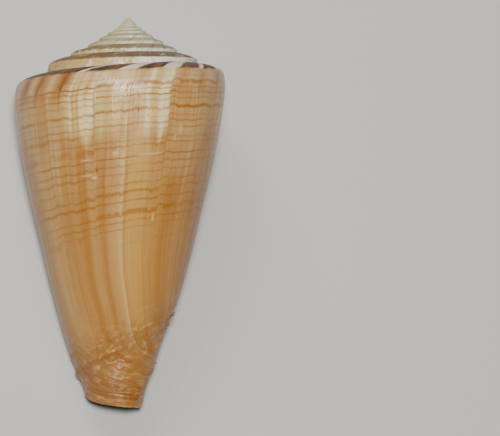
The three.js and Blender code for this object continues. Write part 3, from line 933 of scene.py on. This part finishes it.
def spire_colour(tree, age, around, along):
    """Worn early whorls: brown-grey ramp, cream band at the shoulder, chalky and greenish near the apex."""
    ramp, band = spire_ramp_and_band(tree, age, around, along)
    # Wear has left the edges of the bands uneven
    uneven = raggedness(tree, add(tree, "MULTIPLY", around, 0.7), 11.0)
    along = add(tree, "MULTIPLY_ADD", uneven, 1.6, along)
    edge = between(tree, along, 5.0, 5.5, 0.35)
    ramp = tint(tree, add(tree, "MULTIPLY", edge, 0.7), ramp, "#9A5F2C")
    on_band = add(tree, "ShaderNodeMapRange", {
        "Value": along, "From Min": BAND_START, "From Max": BAND_FULL}, interpolation_type="SMOOTHSTEP")
    colour = add(tree, "ShaderNodeMix", {"Factor": on_band, "A": ramp, "B": band}, data_type="RGBA")
    old = add(tree, "ShaderNodeMapRange", {
        "Value": age, "From Min": 1.9, "From Max": 3.2, "To Max": 0.75}, interpolation_type="SMOOTHSTEP")
    colour = tint(tree, add(tree, "MULTIPLY", old, add(tree, "SUBTRACT", 1.4, on_band)), colour, "#B6B692")
    flames = growth_streaks(tree, around, along, *SPIRE_FLAMES)
    flames = add(tree, "ShaderNodeMapRange", {
        "Value": flames, "From Min": 0.50, "From Max": 0.62, "To Max": 0.8})
    flames = add(tree, "MULTIPLY", flames, between(tree, age, 1.7, 4.6, 0.3))
    flames = add(tree, "MULTIPLY", flames, add(tree, "MULTIPLY_ADD", on_band, -0.75, 1.0))
    colour = tint(tree, flames, colour, "#85602F")
    tip = add(tree, "ShaderNodeMapRange", {
        "Value": age, "From Min": 4.5, "From Max": 6.5, "To Max": 0.8}, interpolation_type="SMOOTHSTEP")
    return tint(tree, tip, colour, "#C6BD92")


# Optics of aragonite, and sizes in millimetres of the pits, wrinkles and bumps of its two layers
ARAGONITE_IOR = 1.53
OUTER_SPECULAR = 0.44
PIT_WIDTH = 0.3
WRINKLE_WIDTH = 0.8
OUTER_BUMP = 0.14
INNER_BUMP = 0.06
INNER_ROUGHNESS = 0.26


def empty_material(name):
    """A new material, and its tree with no nodes in it."""
    material = bpy.data.materials.new(name)
    material.use_nodes = True
    material.node_tree.nodes.clear()
    return material, material.node_tree


def growth_parts(tree):
    """The swept turn, the millimetres along the lip and the true turn that the wall was wound with."""
    growth = tree.nodes.new("ShaderNodeAttribute")
    growth.attribute_name = "growth"
    parts = tree.nodes.new("ShaderNodeSeparateXYZ")
    tree.links.new(growth.outputs["Vector"], parts.inputs[0])
    return parts.outputs


def outer_height(tree, along, worn, fine_lines, broad_lines):
    """Height of growth lines on the last whorl, wrinkles on its base, and pits on the worn whorls."""
    place = tree.nodes.new("ShaderNodeTexCoord").outputs["Object"]
    pits = add(tree, "ShaderNodeTexNoise", {"Vector": place, "Scale": 1 / (PIT_WIDTH * MM), "Detail": 4.0})
    height = add(tree, "MULTIPLY_ADD", fine_lines, 0.85, add(tree, "MULTIPLY", broad_lines, 0.9))
    wrinkles = add(tree, "ShaderNodeTexNoise", {
        "Vector": place, "Scale": 1 / (WRINKLE_WIDTH * MM), "Detail": 2.0})
    on_base = add(tree, "ShaderNodeMapRange", {
        "Value": along, "From Min": BASE_START + 7.0, "From Max": FIRST_CORD + 2.0, "To Max": 2.2})
    height = add(tree, "MULTIPLY_ADD", wrinkles, on_base, height)
    return add(tree, "ShaderNodeMix", {
        "Factor": worn, "A": height, "B": add(tree, "MULTIPLY", pits, 1.3)}, data_type="FLOAT")


def weathered_aragonite():
    """The shell's outer layer of crossed aragonite blades, laid down at the lip and worn by the sea: a
    satin gloss broken by fine growth lines, with the colour in the layer and not on it."""
    material, tree = empty_material("weathered_aragonite_outer_layer")
    turn, along, true_turn = growth_parts(tree)
    around = add(tree, "MULTIPLY", turn, AROUND_MM)
    age = add(tree, "MULTIPLY", true_turn, -1.0)

    body = last_whorl_colour(tree, turn, around, along)
    ramp = ramp_colour(tree, turn, around, along)
    edge = add(tree, "ADD", along, raggedness(tree, around, 3.0))
    on_ramp = add(tree, "ShaderNodeMapRange", {
        "Value": edge, "From Min": RAMP_END + 0.3, "From Max": RAMP_END - 0.3},
        interpolation_type="SMOOTHSTEP")
    last = add(tree, "ShaderNodeMix", {"Factor": on_ramp, "A": body, "B": ramp}, data_type="RGBA")
    worn = add(tree, "ShaderNodeMapRange", {
        "Value": age, "From Min": 0.93, "From Max": 1.07}, interpolation_type="SMOOTHSTEP")
    spire = spire_colour(tree, age, around, along)
    colour = add(tree, "ShaderNodeMix", {"Factor": worn, "A": last, "B": spire}, data_type="RGBA")

    fine_lines = growth_streaks(tree, around, along, *FINE_LINES)
    broad_lines = growth_streaks(tree, around, along, *BROAD_LINES)
    height = outer_height(tree, along, worn, fine_lines, broad_lines)
    bump = add(tree, "ShaderNodeBump", {"Strength": 0.8, "Distance": OUTER_BUMP * MM, "Height": height})
    gloss = add(tree, "ShaderNodeMapRange", {
        "Value": fine_lines, "From Min": 0.35, "From Max": 0.65, "To Min": 0.2, "To Max": 0.36})
    gloss = add(tree, "ShaderNodeMix", {
        "Factor": add(tree, "MAXIMUM", worn, on_ramp), "A": gloss, "B": 0.6}, data_type="FLOAT")
    shell = add(tree, "ShaderNodeBsdfPrincipled", {
        "IOR": ARAGONITE_IOR, "Specular IOR Level": OUTER_SPECULAR,
        "Base Color": colour, "Roughness": gloss, "Normal": bump})
    add(tree, "ShaderNodeOutputMaterial", {"Surface": shell})
    return material


# Layers seen behind the lip: millimetres back to the middle of their edge, its half width, and colour
INNER_COLOURS = ((1.6, 0.5, "#A98660"), (3.2, 1.4, "#B9AFA8"), (7.5, 3.0, "#DAD6D2"))


def porcelain_aragonite():
    """The inner layer, laid down smooth by the mantle: glassy and white, stained brown behind the lip."""
    material, tree = empty_material("porcellaneous_aragonite_inner_layer")
    turn, along, true_turn = growth_parts(tree)
    around = add(tree, "MULTIPLY", turn, AROUND_MM)
    behind = add(tree, "MULTIPLY", true_turn, -AROUND_MM)
    cloud = growth_streaks(tree, around, along, *INNER_CLOUD)
    behind = add(tree, "MULTIPLY_ADD", cloud, 1.6, behind)
    colour = linear("#DCD8BC")
    for reach, soft, layer in INNER_COLOURS:
        mask = add(tree, "ShaderNodeMapRange", {
            "Value": behind, "From Min": reach - soft, "From Max": reach + soft},
            interpolation_type="SMOOTHSTEP")
        colour = tint(tree, mask, colour, layer)
    spots = growth_streaks(tree, around, along, *INNER_SPOTS)
    spots = add(tree, "ShaderNodeMapRange", {"Value": spots, "From Min": 0.66, "From Max": 0.72})
    spots = add(tree, "MULTIPLY", spots, between(tree, along, 40.0, 54.0, 2.0))
    colour = tint(tree, spots, colour, "#8A4B22")
    lines = growth_streaks(tree, around, along, *INNER_LINES)
    bump = add(tree, "ShaderNodeBump", {"Strength": 0.3, "Distance": INNER_BUMP * MM, "Height": lines})
    shell = add(tree, "ShaderNodeBsdfPrincipled", {
        "IOR": ARAGONITE_IOR, "Roughness": INNER_ROUGHNESS, "Base Color": colour, "Normal": bump})
    add(tree, "ShaderNodeOutputMaterial", {"Surface": shell})
    return material


# Dome of the worn first whorls: each row is a distance from the axis and a depth under the tip
APEX_DOME = ((0.22, 0.04), (0.42, 0.16), (0.7, 0.44), (0.95, 0.74), (1.2, 1.04), (1.4, 1.35), (1.3, 2.4))
APEX_SIDES = 32
APEX_TURN = -8.0
APEX_ALONG = 3.0
APEX_INSET = 0.03


def apex_dome():
    """The worn first whorls, fused to a rounded tip."""
    dome = bmesh.new()
    tip = dome.verts.new((0, 0, -APEX_INSET))
    foot = dome.verts.new((0, 0, -APEX_DOME[-1][1]))
    rows = [
        [dome.verts.new(((radius - APEX_INSET) * math.cos(math.tau * i / APEX_SIDES),
                         (radius - APEX_INSET) * math.sin(math.tau * i / APEX_SIDES),
                         -depth - APEX_INSET)) for i in range(APEX_SIDES)]
        for radius, depth in APEX_DOME
    ]
    for i in range(APEX_SIDES):
        after = (i + 1) % APEX_SIDES
        dome.faces.new((tip, rows[0][i], rows[0][after]))
        for upper, lower in zip(rows, rows[1:]):
            dome.faces.new((upper[i], lower[i], lower[after], upper[after]))
        dome.faces.new((rows[-1][i], foot, rows[-1][after]))
    for face in dome.faces:
        face.smooth = True
        face.material_index = 1
    mesh = bpy.data.meshes.new("apex_dome")
    dome.to_mesh(mesh)
    dome.free()
    growth = mesh.attributes.new("growth", "FLOAT_VECTOR", "POINT")
    for i, vertex in enumerate(mesh.vertices):
        angle = math.atan2(vertex.co.y, vertex.co.x) / math.tau
        growth.data[i].vector = (APEX_TURN - angle, APEX_ALONG + vertex.co.z, APEX_TURN)
    return mesh


# Strips that the wall is wound in: name, first and last turn, rows, and the spans of the lip that each
# follows, with how many columns each span has
STRIPS = (
    ("last_whorl", -1.2, 0.0, 300, (
        (0.0, 3.0, 16), (3.0, 5.0, 14), (5.0, 10.0, 28), (10.0, 14.6, 38), (14.6, 21.0, 14))),
    ("whorl_inside", -2.1, -1.15, 70, ((3.0, 5.0, 6), (5.0, 14.6, 24), (14.6, 21.0, 8))),
    ("spire_whorls", -7.6, -1.04, 430, ((0.0, 3.0, 9), (3.0, 5.0, 6), (5.0, 6.8, 4))),
)


def build_shell(lay):
    """Winds the strips, joins them with the dome, and lays the shell down as one piece."""
    tree = wound_wall_tree()
    outer, inner = weathered_aragonite(), porcelain_aragonite()
    meshes = [
        wound(name, spans, tree, {
            "First Turn": first, "Last Turn": last, "Rows": rows,
            "Outer Layer": outer, "Inner Layer": inner})
        for name, first, last, rows, spans in STRIPS
    ]
    joined = bmesh.new()
    for mesh in meshes + [apex_dome()]:
        joined.from_mesh(mesh)
    bmesh.ops.transform(joined, matrix=Matrix.Scale(MM, 4) @ lay, verts=joined.verts)
    # Each strip comes with one corner open, which a triangle closes
    bmesh.ops.holes_fill(joined, edges=joined.edges, sides=3)
    # The tree leaves its first material slot empty
    for face in joined.faces:
        face.material_index -= 1
    mesh = bpy.data.meshes.new("shell_wall")
    joined.to_mesh(mesh)
    joined.free()
    for material in (outer, inner):
        mesh.materials.append(material)
    shell = bpy.data.objects.new("shell_wall", mesh)
    bpy.context.collection.objects.link(shell)
    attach(shell, "root")
    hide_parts("cone_shell")


# Camera: where it stands round the shell's own axis, its distance and aim in millimetres, and its lens.
# It looks down on the back of the lying shell, which stands left of the middle of the picture.
CAMERA_AZIMUTH = math.radians(120.7)
CAMERA_ELEVATION = math.radians(-1.0)
CAMERA_DISTANCE = 427.0
CAMERA_LENS = 200.0
SENSOR_WIDTH = 36.0
AIM_RIGHT = 18.66
AIM_DOWN = 0.76
MIDDLE = Vector((0.0, 0.0, -30.0))

# Lamps: name, metres to the right of the shell, toward its apex and toward the camera, size, and power
LAMPS = (
    ("key", (0.02, 0.075, 0.6), 0.09, 4.3),
    ("spire", (-0.1, 0.45, 0.35), 0.3, 1.4),
)
FLOOR_REACH = 1.5
FLOOR_ROUGHNESS = 0.9
WORLD_LIGHT = 0.012


def directions_of_view(lay):
    """Right, up and back as the camera sees the lying shell."""
    toward_camera = Vector((
        math.cos(CAMERA_ELEVATION) * math.cos(CAMERA_AZIMUTH),
        math.cos(CAMERA_ELEVATION) * math.sin(CAMERA_AZIMUTH),
        math.sin(CAMERA_ELEVATION),
    ))
    turned = lay.to_3x3()
    back = (turned @ toward_camera).normalized()
    apex_up = turned @ Vector((0.0, 0.0, 1.0))
    right = apex_up.cross(back).normalized()
    return right, back.cross(right), back


def place_camera(middle, right, up, back):
    """Stands the camera off the shell's middle and aims it a little beside it."""
    eye = middle + back * CAMERA_DISTANCE
    target = middle + right * AIM_RIGHT - up * AIM_DOWN
    look = (eye - target).normalized()
    side = up.cross(look).normalized()
    facing = Matrix((side, look.cross(side), look)).transposed().to_4x4()
    camera_data = bpy.data.cameras.new("camera")
    camera_data.lens = CAMERA_LENS
    camera_data.sensor_width = SENSOR_WIDTH
    camera_data.clip_start = 0.01
    camera_data.clip_end = 10.0
    camera = bpy.data.objects.new("camera", camera_data)
    camera.matrix_world = Matrix.Translation(eye * MM) @ facing
    bpy.context.collection.objects.link(camera)
    bpy.context.scene.camera = camera


def lay_floor():
    """A plain pale floor of paper."""
    corners = [(x * FLOOR_REACH, y * FLOOR_REACH, 0) for x, y in ((-1, -1), (1, -1), (1, 1), (-1, 1))]
    floor_mesh = bpy.data.meshes.new("floor")
    floor_mesh.from_pydata(corners, [], [(0, 1, 2, 3)])
    paper = bpy.data.materials.new("pale_paper")
    paper.use_nodes = True
    surface = paper.node_tree.nodes["Principled BSDF"].inputs
    surface["Base Color"].default_value = linear("#C6C3BD")
    surface["Roughness"].default_value = FLOOR_ROUGHNESS
    floor = bpy.data.objects.new("floor", floor_mesh)
    floor.data.materials.append(paper)
    bpy.context.collection.objects.link(floor)


def hang_lamps(middle, right, up, back):
    """Soft lamps that face the shell's middle, and a dim white light all round."""
    for name, (aside, toward_apex, above), size, power in LAMPS:
        light_data = bpy.data.lights.new(name, "AREA")
        light_data.size = size
        light_data.energy = power
        light = bpy.data.objects.new(name, light_data)
        offset = right * aside + up * toward_apex + back * above
        light.location = middle * MM + offset
        light.rotation_euler = (-offset).to_track_quat("-Z", "Y").to_euler()
        bpy.context.collection.objects.link(light)
    world = bpy.data.worlds.new("studio")
    world.use_nodes = True
    background = world.node_tree.nodes["Background"].inputs
    background["Color"].default_value = linear("#FFFFFF")
    background["Strength"].default_value = WORLD_LIGHT
    bpy.context.scene.world = world


lay = Matrix.Translation(REST_PLACE) @ Matrix.Rotation(LAY_DOWN, 4, "X") @ Matrix.Rotation(ROLL, 4, "Z")
build_shell(lay)
middle = lay @ MIDDLE
view = directions_of_view(lay)
place_camera(middle, *view)
lay_floor()
hang_lamps(middle, *view)
